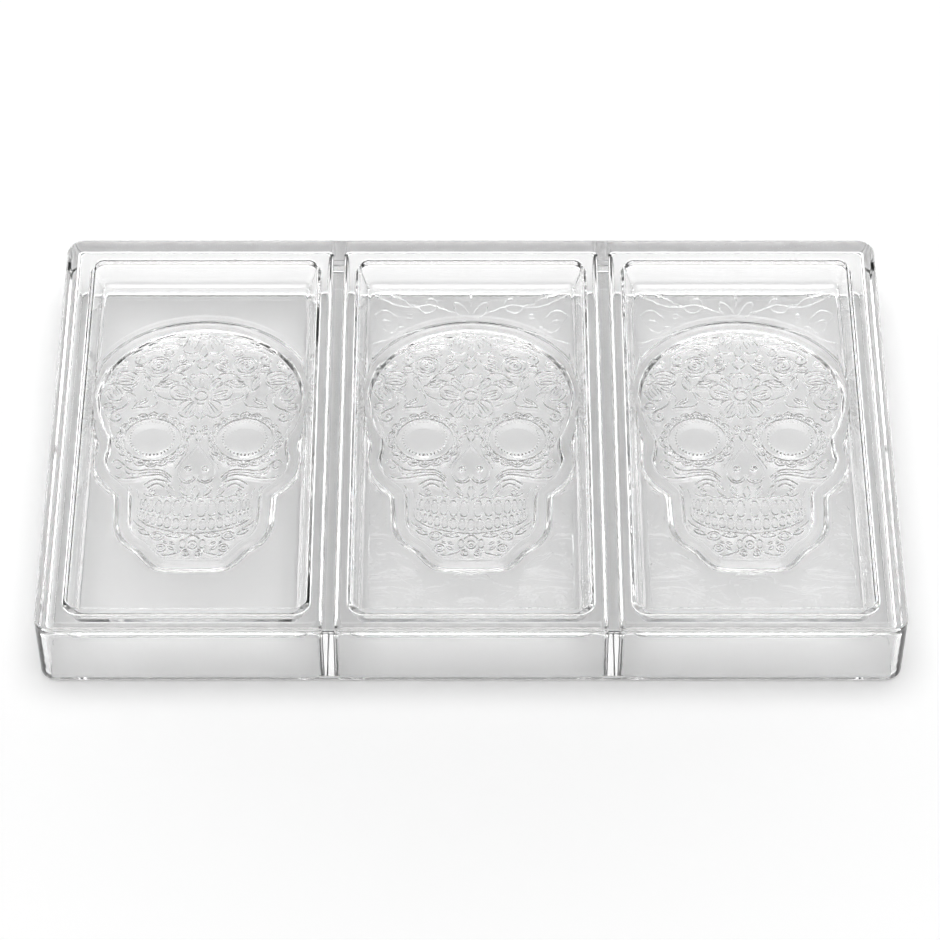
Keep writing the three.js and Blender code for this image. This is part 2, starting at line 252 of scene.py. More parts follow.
def profile_loft(contour_at, profile):
    return loft([contour_at(out) for out, _ in profile], [z for _, z in profile])


def cuboid(x, y, z0, z1):
    return loft([np.array([(x, y), (-x, y), (-x, -y), (x, -y)])] * 2, [z0, z1])


def cavity_section(grow):
    """Floor fillet and wall line of a cavity, moved out by grow; and how far in the floor starts."""
    cos, sin, tan = math.cos(DRAFT), math.sin(DRAFT), math.tan(DRAFT)
    wall_top = (-MOUTH_EDGE_RADIUS * cos, HEIGHT - MOUTH_EDGE_RADIUS * (1 - sin))
    fillet_z = FLOOR_TOP + FLOOR_FILLET
    foot_z = fillet_z - FLOOR_FILLET * sin
    foot = wall_top[0] - (wall_top[1] - foot_z) * tan
    fillet_out = foot - FLOOR_FILLET * cos
    fillet = arc(fillet_out, fillet_z, FLOOR_FILLET + grow, -math.pi / 2, -DRAFT)
    return fillet.tolist(), lambda z: foot + grow / cos + (z - foot_z) * tan, -fillet_out


floor_inset = cavity_section(0)[2]
corner_taper = (MOUTH_CORNER_RADIUS - FLOOR_CORNER_RADIUS) / floor_inset


def cavity_contour(grow):
    def at(out):
        x, y = CAVITY_X / 2 + out, CAVITY_Y / 2 + out
        return rounded_box(-x, x, -y, y, MOUTH_CORNER_RADIUS + grow + (out - grow) * corner_taper)
    return at


def side_line(z):
    return SKIRT_LEAN * (z + TOP_EDGE_RADIUS - HEIGHT) / HEIGHT


def tray_blank():
    foot_out = side_line(0) - FOOT_EDGE_RADIUS
    foot = arc(foot_out, FOOT_EDGE_RADIUS, FOOT_EDGE_RADIUS, -math.pi / 2, 0, steps=5)
    edge = arc(-TOP_EDGE_RADIUS, HEIGHT - TOP_EDGE_RADIUS, TOP_EDGE_RADIUS, 0, math.pi / 2)
    return profile_loft(tray_contour, [*foot, *edge])


def bay(left, right):
    """The open space under the deck; left and right give the upright faces beside it at a height."""
    def ring(grow, z):
        y = WIDTH / 2 - SKIRT_WALL + side_line(z) - grow
        return rounded_box(left(z) + grow, right(z) - grow, -y, y, INSIDE_CORNER_RADIUS)
    cove_z = DECK_UNDER - DECK_COVE
    cove = [(DECK_COVE * (1 - math.cos(a)), cove_z + DECK_COVE * math.sin(a))
            for a in np.linspace(0, math.pi / 2, ARC_STEPS + 1)]
    levels = [(0, -CUT), (0, 0), *cove]
    return loft([ring(grow, z) for grow, z in levels], [z for _, z in levels])


def bays():
    def skirt(z):
        return LENGTH / 2 - SKIRT_WALL + side_line(z)

    def rib(z):
        return RIB_X - (RIB_FOOT + (RIB_TOP - RIB_FOOT) * z / DECK_UNDER) / 2

    def rib_outside(z):
        return 2 * RIB_X - rib(z)

    return [bay(lambda z: -skirt(z), lambda z: -rib_outside(z)), bay(lambda z: -rib(z), rib),
            bay(rib_outside, skirt)]


def pan_outside():
    wall_at = cavity_section(PAN_WALL)[1]
    foot_z = FLOOR_TOP - PAN_WALL + PAN_FOOT_RADIUS
    foot_out = wall_at(foot_z) - PAN_FOOT_RADIUS / math.cos(DRAFT)
    fillet = arc(foot_out, foot_z, PAN_FOOT_RADIUS, -math.pi / 2, -DRAFT)
    cove_z = DECK_UNDER - PAN_COVE
    cove_out = wall_at(cove_z) + PAN_COVE / math.cos(DRAFT)
    cove = arc(cove_out, cove_z, PAN_COVE, math.pi - DRAFT, math.pi / 2).tolist()
    top = [cove[-1][0], DECK_UNDER + 1]
    return profile_loft(cavity_contour(PAN_WALL), [*fillet, *cove, top])


outline = skull_outline()


def recess_profile():
    """Wall of the recess from its floor up: a small fillet, a slope and a large rounding."""
    sin, cos = math.sin(RECESS_ANGLE), math.cos(RECESS_ANGLE)
    rim = arc(0, FLOOR_TOP - RIM_RADIUS, RIM_RADIUS, math.pi / 2 + RECESS_ANGLE, math.pi / 2, steps=12)
    foot_z = recess_floor + FOOT_RADIUS * (1 - cos)
    foot_out = rim[0, 0] - (rim[0, 1] - foot_z) * cos / sin
    foot = arc(foot_out - FOOT_RADIUS * sin, recess_floor + FOOT_RADIUS, FOOT_RADIUS,
               -math.pi / 2, RECESS_ANGLE - math.pi / 2, steps=4)
    return foot.tolist() + rim.tolist()


def boss():
    """The boss that holds the recess. Its side is one cove from a rounded edge up to the pan floor."""
    foot_z, under = recess_floor - PAN_WALL, FLOOR_TOP - PAN_WALL
    height = under - foot_z
    edge_out, edge_z = BOSS_WALL - BOSS_EDGE_RADIUS, foot_z + BOSS_EDGE_RADIUS
    edge = arc(edge_out, edge_z, BOSS_EDGE_RADIUS, -math.pi / 2, 0, steps=6)
    cove = arc(BOSS_WALL + height, foot_z, height, math.pi, math.pi / 2, steps=16)
    cove = cove[cove[:, 1] > edge_z]
    profile = [*edge.tolist(), *cove.tolist(), [BOSS_WALL + height, FLOOR_TOP]]
    return profile_loft(lambda out: grown(outline, out, BOSS_EVEN), profile)


def pan_foot_prism():
    """Upright through the foot of the pan's wall; the boss stays inside it."""
    foot = cavity_contour(PAN_WALL)(cavity_section(PAN_WALL)[1](FLOOR_TOP))
    return loft([foot] * 2, [0, FLOOR_TOP])


# Skull figure. Points are in its own plan, whose zero lies FIGURE_Y behind the middle of the tray.
# Only the half with x above zero is listed: every form is repeated mirrored.

def line(*points):
    return spaced(catmull_rom(points), LINE_STEP)


def loop(cx, cy, rx, ry=None, start=0, end=360):
    """An ellipse, or part of one, between two angles in degrees."""
    steps = max(8, round(abs(end - start) / 360 * math.tau * max(rx, ry or rx) / LINE_STEP))
    return arc(0, 0, 1, math.radians(start), math.radians(end), steps) * (rx, ry or rx) + (cx, cy)


def spiral(cx, cy, outer, inner, start, turns):
    """Winds in from the outer to the inner radius; turns below zero run clockwise."""
    steps = round(abs(turns) * math.tau * (outer + inner) / 2 / LINE_STEP)
    angles = math.radians(start) + np.linspace(0, turns * math.tau, steps + 1)
    radii = np.linspace(outer, inner, steps + 1)
    return np.stack([cx + radii * np.cos(angles), cy + radii * np.sin(angles)], axis=1)


def leaf(base, tip, width, bend=0.0):
    """A closed lens from base to tip, bowed to the left of that way by bend."""
    base, tip = np.array(base), np.array(tip)
    axis = tip - base
    side = np.array([-axis[1], axis[0]]) / np.hypot(*axis)
    t = np.linspace(0, 1, max(6, round(np.hypot(*axis) / LINE_STEP)))[:, None]
    spine = base + t * axis + bend * np.sin(math.pi * t) * side
    half = width / 2 * np.sin(math.pi * t) * side
    return spaced(np.concatenate([spine + half, (spine - half)[-2::-1]]), LINE_STEP)


def crown():
    bold = [line((6.4, 49.8), (12, 48.8), (16.8, 46.9), (21.5, 43.8), (26.2, 40.3), (29.7, 36.8),
                 (32.6, 32.3))]
    bold += [line((0, 46.8), (0.7, 45.2), (1.3, 42.8), (0.9, 41.2), (0, 40.5)),
             loop(0, 50.4, 1.7, 1.0, -90, 90)]
    bold += [line((5.2, 49.6), (5.8, 47.9), (7, 44.8), (6.2, 42.9), (4.3, 42.2), (2.4, 42.6))]
    bold += [line((13, 43.9), (15.6, 44.1), (18.2, 43.5), (20.3, 42.5), (22.3, 40.8), (22.9, 39),
                  (22, 37.5), (20.5, 37.1), (19.1, 38.1), (19.2, 40), (20.4, 40.8), (21.5, 40.1),
                  (20.9, 39.1))]
    bold += [loop(11.4, 42.7, 1.3), loop(6.9, 39.7, 1.3, 1.5), loop(26.4, 37.2, 1.5),
             loop(21.2, 35.3, 1.6, 1.1)]
    bold += [line((0, 39.2), (1.1, 39.5), (2.15, 37.6), (1.2, 35.9), (0, 34.8))]
    fine = [line((5.2, 49.6), (3.5, 50.4), (2.4, 49.3)), line((2.9, 51), (2.2, 49.4), (0, 48.8))]
    fine += [line((5.2, 46.4), (4.9, 47.8), (3.8, 49)), line((4.1, 45.1), (3.9, 46.6), (2.9, 47.9)),
             line((3.2, 44.5), (2.4, 46.2), (1.9, 48))]
    fine += [line((12.5, 48), (10.8, 48.6), (10.2, 47.6)), line((9.9, 49), (8.9, 48.8), (8.5, 47.9)),
             line((10.2, 47.3), (8.6, 46.9), (7.3, 46.8)),
             line((18.7, 44.7), (14.9, 45.2), (11.1, 45.1), (9, 45.7)),
             line((14.9, 45.7), (13.7, 46.5), (12.3, 46.2), (7.3, 46.1))]
    fine += [loop(11.4, 42.6, 1.9, 1.7, 200, 340), loop(6.9, 39.6, 1.9, 2.1, 200, 340),
             loop(7, 39.6, 0.6)]
    fine += [line((26.9, 37.9), (27, 36.8), (25.9, 36.6)),
             line((28.3, 35.6), (29.2, 34.9), (30.2, 33.6)), line((20, 34), (18.6, 33.1), (17.9, 32.2)),
             loop(21.2, 35, 2.1, 1.6, 200, 320)]
    return bold, fine


def forehead_vine():
    bold = [spiral(14.6, 36.5, 4.4, 1.5, 180, -2.3), loop(14.9, 36.4, 0.7)]
    bold += [line((10.2, 35.6), (10.6, 33.6), (12.5, 30.8), (15.1, 27.8), (16.1, 25.6), (15.6, 23.2),
                  (14.4, 20.6))]
    bold += [leaf((9.9, 33.9), (3.9, 37.1), 2.8), leaf((15.3, 27.3), (7.4, 28.8), 3.2, -0.3)]
    bold += [line((12.5, 30.8), (10.6, 32.8), (7.3, 33.1), (5.2, 31.6)),
             leaf((18.9, 31.9), (17.2, 24.8), 2.7)]
    bold += [line((22.9, 16.8), (21.2, 17.4), (17.9, 17.6), (15.5, 18.2), (14.4, 20.2), (14.7, 21.8)),
             line((22.9, 16.8), (22, 18.2), (20.7, 19.9), (18.2, 21.6))]
    fine = [leaf((9, 34.1), (5.3, 36.3), 1.1), leaf((14, 27.7), (9.4, 28.9), 1.2, -0.2)]
    fine += [line((19.4, 32.4), (17.7, 31.6), (16.5, 29.6)),
             line((18.3, 29.8), (17.8, 28.2), (17.6, 26.6)),
             line((15.5, 25.2), (14.2, 22.9), (12, 21.5), (9.6, 20.9)),
             leaf((21, 18.6), (17.4, 20.9), 1.1)]
    fine += [line((17.5, 32.5), (15.9, 31.4), (13.2, 31.9)), line((3.8, 37.9), (3, 38.9))]
    return bold, fine


def forehead_flower():
    bold = [loop(0, 22.7, 2.1, 2.1, -90, 90), loop(0, 22.7, 3.7, 3.7, -90, 90)]
    bold += [line((1.7, 26.2), (2.7, 27.7), (3.2, 29.8), (2.2, 32.2), (0, 33.1))]
    bold += [line((2.5, 27.1), (4, 29.6), (5.4, 30.8), (6.7, 30), (6.4, 28.4), (4.6, 26.2), (3, 24.9))]
    bold += [line((3, 25), (6.2, 27.5), (9, 27.4), (10.4, 25.6), (10.2, 23.2), (8.7, 21.2), (6.2, 20.8),
                  (3.5, 21.5))]
    bold += [line((3.4, 21.2), (6.2, 19.8), (7.2, 17.6), (7.2, 15.2), (5.8, 13.3), (4.1, 12.9),
                  (2.4, 14), (1.8, 16.5), (1.9, 19.3))]
    bold += [line((1.5, 19.2), (1.9, 16), (1.5, 13.8), (0, 11.9)), loop(3, 31.9, 0.8)]
    fine = [line((0.7, 26.5), (0.7, 30), (0, 31)), line((3.6, 27.2), (4.8, 28.9), (5.9, 29.3))]
    fine += [line((8.8, 25.1), (7.2, 25), (3.8, 23.5)), line((8.6, 24.5), (7.2, 23.7), (4.2, 22.8)),
             line((8.2, 23), (6.8, 22.2), (4.4, 22))]
    fine += [line((2.9, 20), (4.4, 18.2), (5.9, 16)), line((2.5, 19.4), (3.7, 17.3), (4.9, 15)),
             line((2.3, 18), (2.9, 16.2), (3.8, 14.3)), line((0.9, 18.2), (0.7, 15.6), (0, 13.7))]
    fine += [line((10.7, 19.4), (9.6, 18.4), (8, 18.1))]
    return bold, fine


def temple():
    bold = [loop(30.8, 30.4, 2.1, 2.3), loop(32, 26.9, 1.8, 1.7), loop(30.5, 18.2, 1.6, 1.1)]
    bold += [line((28.8, 32.6), (26.7, 33.8), (23.8, 33.8), (21.7, 32.3), (21.6, 30), (22.9, 28.2),
                  (25.5, 27.7), (28.8, 28.6))]
    bold += [line((29.3, 27.6), (27.9, 26.2), (26.7, 24.3), (26.4, 22), (27.6, 20.6), (30.2, 20.8),
                  (32.4, 24.6))]
    bold += [line((23.9, 21.8), (24.3, 19.4), (25.9, 17.4), (28.5, 15.8), (29.9, 14.2), (29.6, 12),
                  (27.8, 11.1), (26.3, 12.2), (26.3, 13.6), (27.4, 14.4), (28.2, 13.6), (27.5, 12.9))]
    fine = [loop(30.8, 30.4, 0.9, 1.1), line((28.3, 31.6), (25.7, 32.5), (22.6, 31.1)),
            line((28.4, 30.2), (25.7, 30.8), (22.8, 30)),
            line((28.5, 28.9), (25.7, 29.3), (23.3, 28.9))]
    fine += [line((23.4, 26.7), (22, 27.7), (21.1, 29.6)), leaf((26.8, 26.8), (22.8, 25), 1.5),
             line((25.4, 24), (23.3, 24), (21.7, 22.2), (22, 20.1)),
             line((24.8, 23), (24.3, 21.6), (23.6, 20.4))]
    fine += [line((30.9, 24.8), (30.3, 23.2), (29.4, 21.8)),
             line((30, 25.9), (29.2, 24.2), (28.1, 22.7)), line((29, 26.5), (28.1, 25), (27.4, 23.5)),
             loop(30.5, 18, 2.2, 1.7, 190, 350)]
    return bold, fine


def cheek():
    bold = [line((31.3, 14.2), (30.2, 11), (29, 5.5), (28.5, 2.6), (29.2, -2.5), (29.6, -6.3),
                 (29.1, -9.9), (27.9, -12.1), (25.8, -14), (23, -14.4), (19.8, -14), (16.3, -13.2),
                 (12.7, -12.8), (10.4, -13.6), (8.4, -16))]
    bold += [line((23.6, -8.9), (21.7, -10.5), (19.3, -11.1), (16.3, -10.6), (12.7, -10.6),
                  (10.4, -11.5), (8, -14))]
    bold += [line((28, -7.6), (27.1, -6.4), (25.5, -6.7), (23.6, -8.9)),
             line((23.8, -9.4), (23, -11.8), (21.5, -12.6), (19.6, -12.2))]
    bold += [line((9.2, -16.1), (13.4, -14.9), (17, -17.2)),
             line((10.4, -18.2), (12.8, -16.7), (15.9, -18.8))]
    fine = [line((28.5, 2.6), (27.4, 4.4), (26.9, 6.2)), line((28.5, 2.6), (27.4, 1.4), (26.9, 0.2)),
            line((26.6, -9.4), (25.9, -10.1), (24.8, -9.3), (25.1, -8.4)),
            spiral(14, -20.6, 1.5, 0.5, 90, -1.3)]
    fine += [line((21.2, -13), (17.4, -12), (13.9, -11.7), (10.8, -12.3), (8.6, -14.6))]
    return bold, fine


def nose_half():
    half = catmull_rom([(0, -14.2), (1.3, -15.9), (3.2, -16.6), (4.9, -15.6), (6, -13.2), (5.9, -10.5),
                        (4.7, -7.4), (2.4, -3.4), (0, 0.8)])
    return spaced(half, NOSE_STEP)


def nose_bridge():
    bold = [nose_half(), line((0, 6.9), (0.7, 6.3), (1.3, 4.6), (0.8, 3), (0, 2)),
            spiral(2.1, 8, 1.4, 0.4, 270, -1.4), line((3.8, 6.3), (2.9, 5.3), (1.4, 5.5))]
    fine = [line((3.4, -0.6), (3.9, -3.6), (5.7, -6.9), (7.2, -10.2)),
            spiral(2.7, -10.9, 1.4, 0.5, 300, 1.5)]
    return bold, fine


def upper_lip():
    bold = [line((0, -17.5), (1.1, -19.6), (1.1, -21.2), (0, -23.6)),
            leaf((5.2, -17.7), (2.8, -22.3), 1.7), leaf((9.6, -17), (6.9, -22.6), 2)]
    fine = [line((0, -24), (1.6, -22.8), (3, -23.2), (4.6, -22.7), (6.4, -23.3), (8.4, -22.4),
                 (10.4, -22.9), (12.4, -22), (15, -22.3), (17, -21))]
    return bold, fine


def tooth_row(count, first, step, top, bottom, rise_top, rise_bottom):
    """Teeth at even angles along half a circle seen from its front."""
    row = []
    for k in range(count):
        angle = math.radians(first + k * step)
        half = TOOTH_SHARE * ARCH_RADIUS * math.cos(angle) * math.radians(step)
        high = top + rise_top * math.sin(angle) ** 2
        low = bottom + rise_bottom * math.sin(angle) ** 2
        middle, tall = (high + low) / 2, (high - low) / 2
        steps = max(12, round((4 * tall + 3 * half) / LINE_STEP))
        around = np.linspace(0, math.tau, steps + 1)
        across, up = np.cos(around), np.sin(around)
        blunt = np.abs(across) ** BLUNT * np.sign(across)
        row.append(np.stack([ARCH_RADIUS * math.sin(angle) + half * blunt, middle + tall * up], axis=1))
    return row


def mouth():
    bold = tooth_row(**UPPER_TEETH) + tooth_row(**LOWER_TEETH)
    bold += [line((18.6, -27.4), (18.4, -31), (16.6, -33.6), (14, -35.4), (10.4, -36.8), (5.9, -38),
                  (0, -38.7))]
    return bold, []


def jaw():
    bold = [line((22.7, -19.8), (21.5, -24.3), (21.8, -31.2), (20.9, -35.3), (17.9, -40.2),
                 (14.6, -43.5), (13.4, -46.3), (10.4, -48.6))]
    fine = [line((21.8, -17.7), (20.3, -21.4), (20.2, -30.4), (18.8, -34), (15.9, -36.4)),
            line((19.3, -19), (18.6, -21), (18.5, -23))]
    return bold, fine


def chin():
    bold = [loop(11.5, -39.6, 2.2, 1.8), leaf((14, -39.2), (18, -36.7), 1.6),
            leaf((3.6, -39.6), (9, -39.2), 1.5), line((0, -39.3), (1.2, -39.8), (2.3, -41)),
            loop(0, -43.4, 1.5, 1.7, -90, 90), loop(3.2, -43, 1, 1.8)]
    bold += [loop(10.2, -44.8, 1.7, 1.5), spiral(1.9, -47, 1.6, 0.4, 90, -1.4),
             line((3.4, -45.9), (5.9, -47.3), (9.2, -47.9), (12.3, -46.4))]
    fine = [loop(11.5, -39.6, 1.3, 1), leaf((4.8, -39.5), (7.8, -39.4), 0.7),
            loop(10.2, -44.8, 0.8, 0.7), leaf((19, -36.6), (20.3, -34.4), 0.9),
            leaf((5.6, -43.2), (7.6, -42.2), 0.9), leaf((5.8, -45.6), (7.9, -44.2), 1),
            leaf((8.2, -42.8), (9.6, -41.8), 0.7), loop(0, -43.6, 0.7, 0.5, -90, 90)]
    return bold, fine


def around_eye(radius, angles):
    return np.stack([EYE_X + radius * np.cos(angles), EYE_Y + radius * np.sin(angles)], axis=1)


def lace():
    """Scallops round the eye: two wavy lines, with a small leaf in each wave."""
    angles = np.linspace(0, math.tau, SCALLOP_STEPS * LACE_SCALLOPS + 1)
    wave = np.abs(np.sin(LACE_SCALLOPS / 2 * angles)) ** BLUNT
    outer, inner = [spaced(around_eye(radius + swell * wave, angles), LINE_STEP)
                    for radius, swell in LACE_RINGS]
    leaves = []
    for k in range(LACE_SCALLOPS):
        middle = (k + 0.5) * math.tau / LACE_SCALLOPS
        base, tip = [(EYE_X + LACE_LEAF_RADIUS * math.cos(middle + turn),
                      EYE_Y + LACE_LEAF_RADIUS * math.sin(middle + turn))
                     for turn in (-LACE_LEAF_TURN, LACE_LEAF_TURN)]
        leaves.append(leaf(base, tip, LACE_LEAF_WIDTH))
    return [outer, loop(EYE_X, EYE_Y, EYE_LINE_RADIUS)], [inner] + leaves


def both_sides(points):
    return [points, points * (-1, 1)]


def strokes():
    """The bold and the fine lines of the whole figure."""
    bold, fine = [], []
    regions = (crown, forehead_vine, forehead_flower, temple, cheek, nose_bridge, upper_lip, mouth,
               jaw, chin, lace)
    for region in regions:
        more_bold, more_fine = region()
        bold += more_bold
        fine += more_fine
    return [[one for half in lines for one in both_sides(half)] for lines in (bold, fine)]


# Heights of the figure above the recess floor

def stations(lines):
    """Every point of the lines, and its unit normal."""
    points = np.concatenate(lines)
    ahead = np.concatenate([np.append(np.diff(each, axis=0), each[-1:] - each[-2:-1], axis=0)
                            for each in lines])
    before = np.concatenate([np.append(each[1:2] - each[:1], np.diff(each, axis=0), axis=0)
                             for each in lines])
    along = ahead / np.hypot(*ahead.T)[:, None] + before / np.hypot(*before.T)[:, None]
    along /= np.maximum(np.hypot(*along.T)[:, None], 1e-6)
    return points, np.stack([-along[:, 1], along[:, 0]], axis=1)


def tree_of(points):
    tree = KDTree(len(points))
    for index, (x, y) in enumerate(points):
        tree.insert((x, y, 0), index)
    tree.balance()
    return tree


def ridge(plan, points, normals, width, height):
    """Height of the nearest line at each place: highest on the line, nothing beyond half its width."""
    tree = tree_of(points)
    found = [tree.find((x, y, 0))[1] for x, y in plan]
    offset, normal = plan - points[found], normals[found]
    across = np.abs((offset * normal).sum(axis=1))
    along = np.abs(offset[:, 0] * normal[:, 1] - offset[:, 1] * normal[:, 0])
    past_end = np.maximum(along - LINE_STEP / 2, 0)
    return height * np.clip(1 - np.hypot(across, past_end) / (width / 2), 0, 1)


def smooth(t):
    """Rises from 0 to 1 and levels out at both ends."""
    t = np.clip(t, 0, 1)
    return t * t * (3 - 2 * t)


def pad(plan, contour, slope, height):
    """A flat raised form, whose side rises over slope from its contour."""
    tree = tree_of(contour)
    within = inside(plan, contour)
    distance = np.array([tree.find((x, y, 0))[2] if on else 0 for (x, y), on in zip(plan, within)])
    return height * smooth(distance / slope)


def beads():
    """Middles of the beads: a ring in each eye, and some between the lines."""
    ring = around_eye(EYE_BEAD_RING, np.arange(EYE_BEADS) / EYE_BEADS * math.tau)
    loose = np.array([(5.4, 11.1), (24.9, 10.3), (10.3, -9.9), (6.9, -8.2), (15.3, 15.4), (23.6, -6.2)])
    return np.concatenate(both_sides(np.concatenate([ring, loose])))


def thinned(points, cell):
    """At most one of the points in each cell of a grid."""
    _, first = np.unique(np.round(points / cell).astype(int), axis=0, return_index=True)
    return points[np.sort(first)]


def skull_figure(contour):
    """Plan points inside the contour, close together where the figure needs them, and their heights."""
    eyes = both_sides(loop(EYE_X, EYE_Y, EYE_RADIUS)[:-1])
    eyes[1] = eyes[1][::-1]
    nose = np.concatenate([nose_half(), nose_half()[-2:0:-1] * (-1, 1)])
    pads = [(each, EYE_SLOPE, EYE_HEIGHT) for each in eyes] + [(nose, NOSE_SLOPE, NOSE_HEIGHT)]
    marks = beads()
    plans = [marks] + [marks + share * BEAD_RADIUS * turn
                       for share in BEAD_SHARES for turn in loop(0, 0, 1, 1)[:-1]]
    drawn = []
    for lines, width, height in zip(strokes(), (LINE_WIDTH, FINE_WIDTH), (LINE_HEIGHT, FINE_HEIGHT)):
        points, normals = stations(lines)
        drawn.append((points, normals, width, height))
        plans += [points + share * width / 2 * normals for share in ACROSS]
    plans += [grown(each, -share * slope) for each, slope, _ in pads for share in PAD_SHARES]
    plans.append(grid_inside(contour, FIGURE_GRID))
    plan = thinned(np.concatenate(plans), CELL)
    plan = plan[inside(plan, grown(contour, -EDGE_GAP))]
    height = sum(pad(plan, *each) for each in pads)
    height += np.max([ridge(plan, *each) for each in drawn], axis=0)
    bead_tree = tree_of(marks)
    away = np.array([bead_tree.find((x, y, 0))[2] for x, y in plan]) / BEAD_RADIUS
    return plan, height + BEAD_HEIGHT * np.sqrt(np.clip(1 - away ** 2, 0, 1))


def filled(contour, points):
    """Triangles of the plan inside a closed contour, whose points come first, through further points."""
    places = np.concatenate([contour, points]).tolist()
    edge = list(range(len(contour)))
    found, _, faces = delaunay_2d_cdt(places, [], [edge], INSIDE_ONLY, CDT_EPSILON, False)[:3]
    plan = np.array([(p.x, p.y) for p in found])
    faces = np.array(faces)
    return plan, faces[inside(plan[faces].mean(axis=1), contour)]


def grid_inside(contour, step):
    x0, y0 = contour.min(axis=0)
    x1, y1 = contour.max(axis=0)
    x, y = np.meshgrid(np.arange(x0, x1, step), np.arange(y0, y1, step))
    points = np.column_stack([x.ravel(), y.ravel()])
    return points[inside(points, grown(contour, -0.5 * step))]


def embossed(contour_at, profile, points, heights):
    """A solid lofted up the profile; the points stand above the rest of its underside."""
    rim = contour_at(profile[0][0])
    count = len(rim)
    plan, faces = filled(rim, points)
    level = np.full(len(plan), profile[0][1])
    level[count:] += heights
    wall, wall_faces = profile_loft(contour_at, profile)
    wall_faces.pop(-2)
    shift = len(plan) - count
    walls = [[k if k < count else k + shift for k in face] for face in wall_faces]
    verts = np.concatenate([np.column_stack([plan, level]), wall[count:]])
    return verts, faces[:, ::-1].tolist() + walls


def skull_stamp():
    """What the skull recess takes out of the tray, with the figure on its underside."""
    profile = recess_profile()
    points, heights = skull_figure(grown(outline, profile[0][0]) - (0, FIGURE_Y))
    profile.append([profile[-1][0], HEIGHT])
    return embossed(lambda out: grown(outline, out), profile, points + (0, FIGURE_Y), heights)


def floor_pattern():
    """Half flowers at both ends of a cavity floor, with scrolls, vines and leaves beside them."""
    flower = [loop(0, -70.5, 3.4, 3.2, 0, 90), loop(0, -70.5, 5.4, 4.7, 0, 90),
              line((0, -56.4), (2.8, -55.7), (5.4, -56.7), (6.4, -59), (5.9, -62.7), (4.3, -66)),
              line((0, -58.8), (1.4, -58.8)), line((0.2, -58.8), (0.3, -63.2)),
              line((4.2, -60.6), (3.2, -64.3)),
              line((6.4, -57.6), (9, -60.6), (13.2, -61.6), (14.8, -64.3), (12.6, -66.9), (8.6, -69.4)),
              line((10.4, -63.9), (7.3, -66.9)), line((14, -66.9), (15.4, -69.4))]
    low = [line((34, -39.8), (30.4, -38.7), (26.6, -39.8), (25, -43), (26.4, -46.8), (29.6, -47.8),
                (31.2, -45.7), (30.5, -43.4), (28.8, -43), (28.3, -44.9)),
           line((34, -48.1), (30, -50.5), (26, -54.2), (22.8, -57.4), (19, -61.1), (14.8, -63.2)),
           leaf((26.2, -46.8), (16.6, -54.8), 3.6), leaf((32.2, -57.4), (17, -55.3), 2.8, -0.8),
           loop(16.5, -60, 1.6), loop(32, -58.7, 1), spiral(32, -53, 1.5, 0.5, 90, 1.4),
           line((33.2, -62.7), (27, -61.4), (20.6, -62.2), (15.8, -64.8)),
           spiral(29, -66.9, 4.2, 1, 150, -1.7), loop(19.6, -70, 3.8, 5.4, 0, 180),
           loop(19.6, -70, 1.4, 3.2, 0, 180)]
    beside = [line((33.4, -21.3), (30.8, -19.7), (28.8, -23), (29.2, -28.4), (31.4, -31.2), (33, -29.5),
                   (32.3, -27.1)),
              line((33.8, -33.9), (30.4, -35.8), (27.6, -33.9))]
    high = [line((6.3, 61.4), (13.3, 65), (20, 63.8), (25.1, 65), (32.6, 69.7)),
            line((33.7, 59), (29.3, 62.6), (25.2, 59), (24.6, 54.3), (26.9, 51.7), (30, 54.3),
                 (29.4, 57.8), (27.4, 57.2)),
            line((33.4, 46.6), (29.3, 48.2), (24.3, 50.5), (17.7, 53.1)),
            line((20, 63.8), (22.7, 67.3), (27.1, 69.7)),
            line((18.6, 65), (15.7, 61.2), (12.3, 62.6), (11.5, 66.2), (13.4, 68.3), (15.1, 66.7)),
            line((0.6, 60.2), (3, 65), (5.6, 66.2), (5.2, 62), (3.2, 59)), line((0, 60.2), (0.3, 69.7)),
            loop(20.6, 59.6, 1.1), loop(23.5, 53.5, 1.2)]
    return [one for half in flower + low + beside + high for one in both_sides(half)]


def cavity_profile():
    """Floor fillet, wall and rounded mouth edge of a cavity, and upright from there."""
    lip = arc(0, HEIGHT - MOUTH_EDGE_RADIUS, MOUTH_EDGE_RADIUS, math.pi - DRAFT, math.pi / 2).tolist()
    return [*cavity_section(0)[0], *lip, [0, HEIGHT + CUT]]


def cavity_hollow():
    """The open space of a cavity above its floor."""
    return profile_loft(cavity_contour(0), cavity_profile())


def patterned_hollow():
    """The same space, with the faint pattern of the floor on its underside."""
    floor = cavity_contour(0)(cavity_profile()[0][0])
    points, normals = stations(floor_pattern())
    plans = [points + share * PATTERN_WIDTH / 2 * normals for share in ACROSS]
    plans.append(grid_inside(floor, PATTERN_GRID))
    plan = thinned(np.concatenate(plans), PATTERN_CELL)
    plan = plan[inside(plan, grown(floor, -EDGE_GAP))]
    heights = ridge(plan, points, normals, PATTERN_WIDTH, PATTERN_HEIGHT)
    return embossed(cavity_contour(0), cavity_profile(), plan, heights)


# Blender objects

def node_after(tree, kind, source=None, **values):
    """A new node, fed by source in its first socket; the values go to the sockets they name."""
    node = tree.nodes.new(kind)
    for name, value in values.items():
        node.inputs[name.replace("_", " ")].default_value = value
    if source is not None:
        tree.links.new(source, node.inputs[0])
    return node


